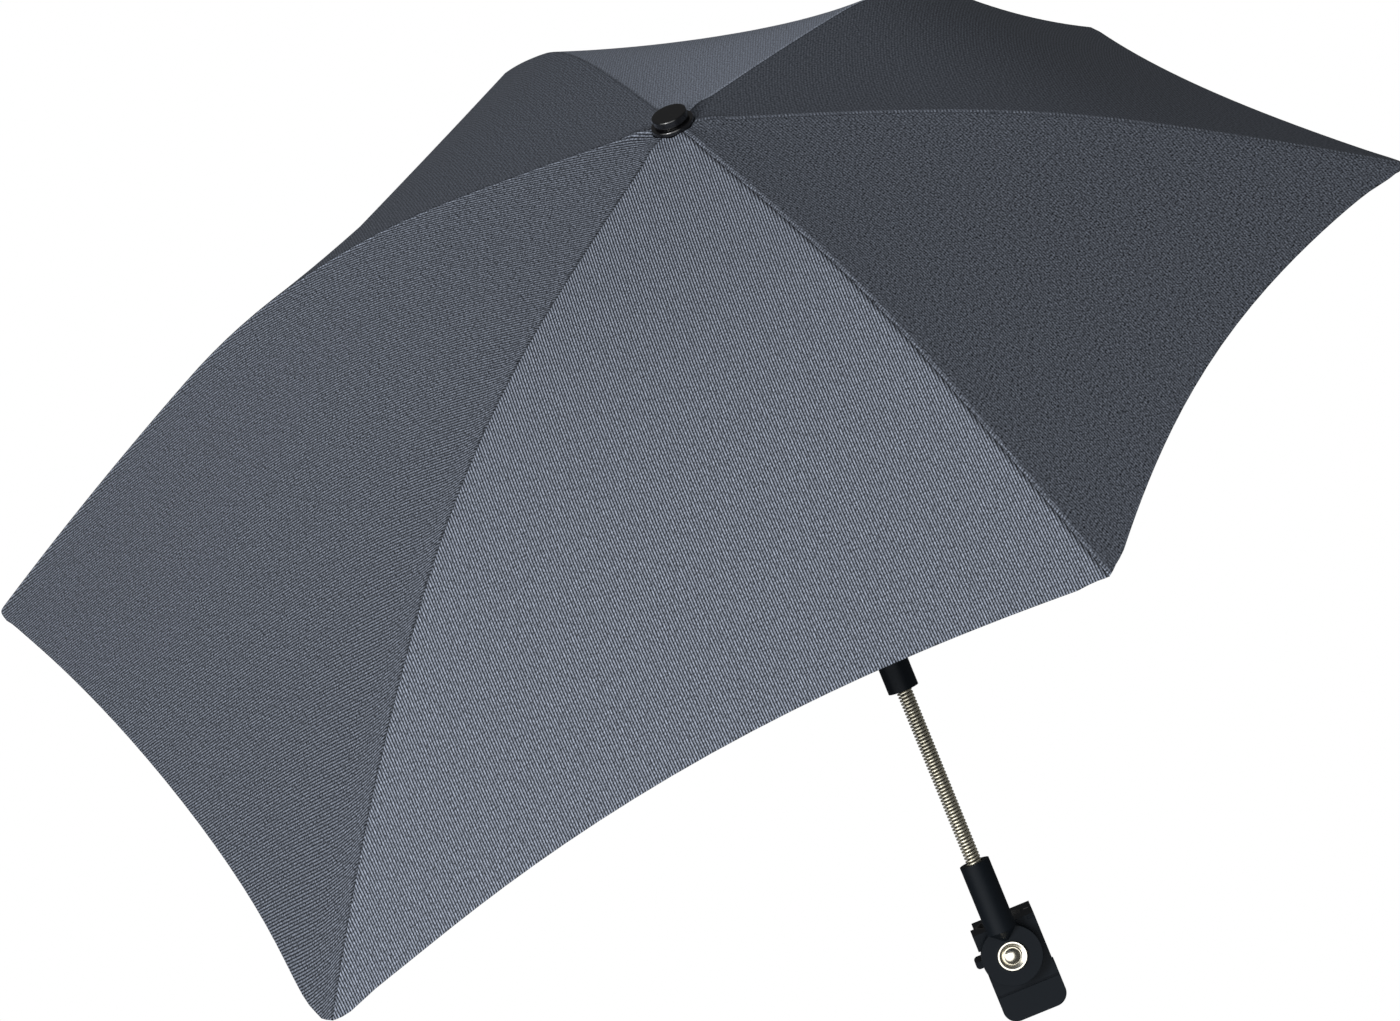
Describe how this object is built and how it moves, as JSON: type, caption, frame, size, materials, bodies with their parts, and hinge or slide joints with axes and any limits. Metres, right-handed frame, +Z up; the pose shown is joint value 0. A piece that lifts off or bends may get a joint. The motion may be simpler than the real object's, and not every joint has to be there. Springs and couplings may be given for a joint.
{
  "type": "pram parasol",
  "caption": "Six-panel fabric sunshade on a sliding ribbed frame, with a coiled gooseneck mast and a hinged clamp for a pram's tube.",
  "frame": {"origin": "on the axis of the pram tube, level with the stem's pivot", "axes": "+Z up the mast and the pram tube, -Y the front of the clamp, +X its right"},
  "size_m": [0.7252, 0.6667, 0.5373],
  "materials": {
    "canopy_fabric": "fine diagonal twill",
    "black_plastic": "satin moulded",
    "gloss_black": "gloss moulded",
    "rubber": "matt",
    "chrome": "bright plated",
    "steel": "plain drawn wire and tube"
  },
  "bodies": {
    "clamp": {"clamp_bracket": "black_plastic", "clamp_foot": "black_plastic", "jaw_hinge_pin": "steel", "front_pad": "rubber", "pivot_bolt": "chrome", "cup_washer": "chrome", "pivot_nut": "steel"},
    "jaw": {"rear_jaw": "black_plastic", "rear_pad": "rubber"},
    "stem": {"lower_sleeve": "black_plastic", "gooseneck_coil": "chrome", "gooseneck_core": "rubber"},
    "upper": {"upper_sleeve": "black_plastic", "knuckle_fork": "black_plastic", "knuckle_pin": "steel"},
    "shaft": {"knuckle_tongue": "black_plastic", "shaft_tube": "steel", "top_notch": "black_plastic", "notch_pins": "steel", "crown_washer": "gloss_black", "finial_cap": "gloss_black"},
    "runner": {"runner": "black_plastic"},
    "rib_1": {"rib_1": "steel", "rib_tip_1": "black_plastic", "rib_clip_1": "black_plastic", "stretcher_rivet_1": "steel", "canopy_panel_1": "canopy_fabric"},
    "stretcher_1": {"stretcher_1": "steel"},
    "rib_2": {"rib_2": "steel", "rib_tip_2": "black_plastic", "rib_clip_2": "black_plastic", "stretcher_rivet_2": "steel", "canopy_panel_2": "canopy_fabric"},
    "stretcher_2": {"stretcher_2": "steel"},
    "rib_3": {"rib_3": "steel", "rib_tip_3": "black_plastic", "rib_clip_3": "black_plastic", "stretcher_rivet_3": "steel", "canopy_panel_3": "canopy_fabric"},
    "stretcher_3": {"stretcher_3": "steel"},
    "rib_4": {"rib_4": "steel", "rib_tip_4": "black_plastic", "rib_clip_4": "black_plastic", "stretcher_rivet_4": "steel", "canopy_panel_4": "canopy_fabric"},
    "stretcher_4": {"stretcher_4": "steel"},
    "rib_5": {"rib_5": "steel", "rib_tip_5": "black_plastic", "rib_clip_5": "black_plastic", "stretcher_rivet_5": "steel", "canopy_panel_5": "canopy_fabric"},
    "stretcher_5": {"stretcher_5": "steel"},
    "rib_6": {"rib_6": "steel", "rib_tip_6": "black_plastic", "rib_clip_6": "black_plastic", "stretcher_rivet_6": "steel", "canopy_panel_6": "canopy_fabric"},
    "stretcher_6": {"stretcher_6": "steel"}
  },
  "joints": [
    {"name": "jaw_open", "type": "hinge", "parent": "clamp", "child": "jaw", "pos_m": [0.0154, 0, 0.004], "axis": [0, 0, -1], "range_deg": [0, 80]},
    {"name": "stem_tilt", "type": "hinge", "parent": "clamp", "child": "stem", "pos_m": [0, -0.0242, 0], "axis": [0, -1, 0], "range_deg": [-90, 90]},
    {"name": "gooseneck_flex", "type": "hinge", "parent": "stem", "child": "upper", "pos_m": [0, -0.0282, 0.09875], "axis": [1, 0, 0], "range_deg": [-40, 40], "deforming": ["gooseneck_coil", "gooseneck_core"]},
    {"name": "knuckle_tilt", "type": "hinge", "parent": "upper", "child": "shaft", "pos_m": [0, -0.0282, 0.185], "axis": [1, 0, 0], "range_deg": [-23, 25]},
    {"name": "canopy_fold", "type": "hinge", "parent": "shaft", "child": "rib_1", "pos_m": [-0.00997, -0.13879, 0.45743], "axis": [-0.4226, -0.8343, -0.3541], "range_deg": [0, 58], "deforming": ["canopy_panel_1", "canopy_panel_6"]},
    {"name": "stretcher_swing_1", "type": "hinge", "parent": "rib_1", "child": "stretcher_1", "pos_m": [-0.11723, -0.08313, 0.45432], "axis": [-0.4226, -0.8343, -0.3541], "range_deg": [-116, 0]},
    {"name": "rib_fold_2", "type": "hinge", "parent": "shaft", "child": "rib_2", "pos_m": [-0.0075, -0.15048, 0.45247], "axis": [0.7314, -0.6278, -0.2665], "range_deg": [0, 58], "deforming": ["canopy_panel_2", "canopy_panel_1"]},
    {"name": "stretcher_swing_2", "type": "hinge", "parent": "rib_2", "child": "stretcher_2", "pos_m": [-0.08822, -0.22053, 0.39599], "axis": [0.7314, -0.6278, -0.2665], "range_deg": [-116, 0]},
    {"name": "rib_fold_3", "type": "hinge", "parent": "shaft", "child": "rib_3", "pos_m": [0.00322, -0.15275, 0.45151], "axis": [0.9563, 0.2691, 0.1142], "range_deg": [0, 58], "deforming": ["canopy_panel_3", "canopy_panel_2"]},
    {"name": "stretcher_swing_3", "type": "hinge", "parent": "rib_3", "child": "stretcher_3", "pos_m": [0.03782, -0.24732, 0.38463], "axis": [0.9563, 0.2691, 0.1142], "range_deg": [-116, 0]},
    {"name": "rib_fold_4", "type": "hinge", "parent": "shaft", "child": "rib_4", "pos_m": [0.01001, -0.14727, 0.45384], "axis": [0.4147, 0.8376, 0.3556], "range_deg": [0, 58], "deforming": ["canopy_panel_4", "canopy_panel_3"]},
    {"name": "stretcher_swing_4", "type": "hinge", "parent": "rib_4", "child": "stretcher_4", "pos_m": [0.1177, -0.18283, 0.412], "axis": [0.4147, 0.8376, 0.3556], "range_deg": [-116, 0]},
    {"name": "rib_fold_5", "type": "hinge", "parent": "shaft", "child": "rib_5", "pos_m": [0.0083, -0.13643, 0.45844], "axis": [-0.6561, 0.6947, 0.2949], "range_deg": [0, 58], "deforming": ["canopy_panel_5", "canopy_panel_4"]},
    {"name": "stretcher_swing_5", "type": "hinge", "parent": "rib_5", "child": "stretcher_5", "pos_m": [0.09762, -0.05534, 0.46612], "axis": [-0.6561, 0.6947, 0.2949], "range_deg": [-116, 0]},
    {"name": "rib_fold_6", "type": "hinge", "parent": "shaft", "child": "rib_6", "pos_m": [-0.002, -0.13311, 0.45984], "axis": [-0.9833, -0.1677, -0.0712], "range_deg": [0, 58], "deforming": ["canopy_panel_6", "canopy_panel_5"]},
    {"name": "stretcher_swing_6", "type": "hinge", "parent": "rib_6", "child": "stretcher_6", "pos_m": [-0.02357, -0.01638, 0.48265], "axis": [-0.9833, -0.1677, -0.0712], "range_deg": [-116, 0]},
    {"name": "runner_slide", "type": "slide", "parent": "shaft", "child": "runner", "axis": [0, 0.3907, -0.9205], "range_m": [0, 0.1776]}
  ],
  "couplings": [
    {"joint": "stretcher_swing_1", "follows": "canopy_fold", "ratio": -2},
    {"joint": "rib_fold_2", "follows": "canopy_fold", "ratio": 1},
    {"joint": "stretcher_swing_2", "follows": "canopy_fold", "ratio": -2},
    {"joint": "rib_fold_3", "follows": "canopy_fold", "ratio": 1},
    {"joint": "stretcher_swing_3", "follows": "canopy_fold", "ratio": -2},
    {"joint": "rib_fold_4", "follows": "canopy_fold", "ratio": 1},
    {"joint": "stretcher_swing_4", "follows": "canopy_fold", "ratio": -2},
    {"joint": "rib_fold_5", "follows": "canopy_fold", "ratio": 1},
    {"joint": "stretcher_swing_5", "follows": "canopy_fold", "ratio": -2},
    {"joint": "rib_fold_6", "follows": "canopy_fold", "ratio": 1},
    {"joint": "stretcher_swing_6", "follows": "canopy_fold", "ratio": -2},
    {"joint": "runner_slide", "follows": "canopy_fold", "m_per_rad": 0.17544}
  ]
}
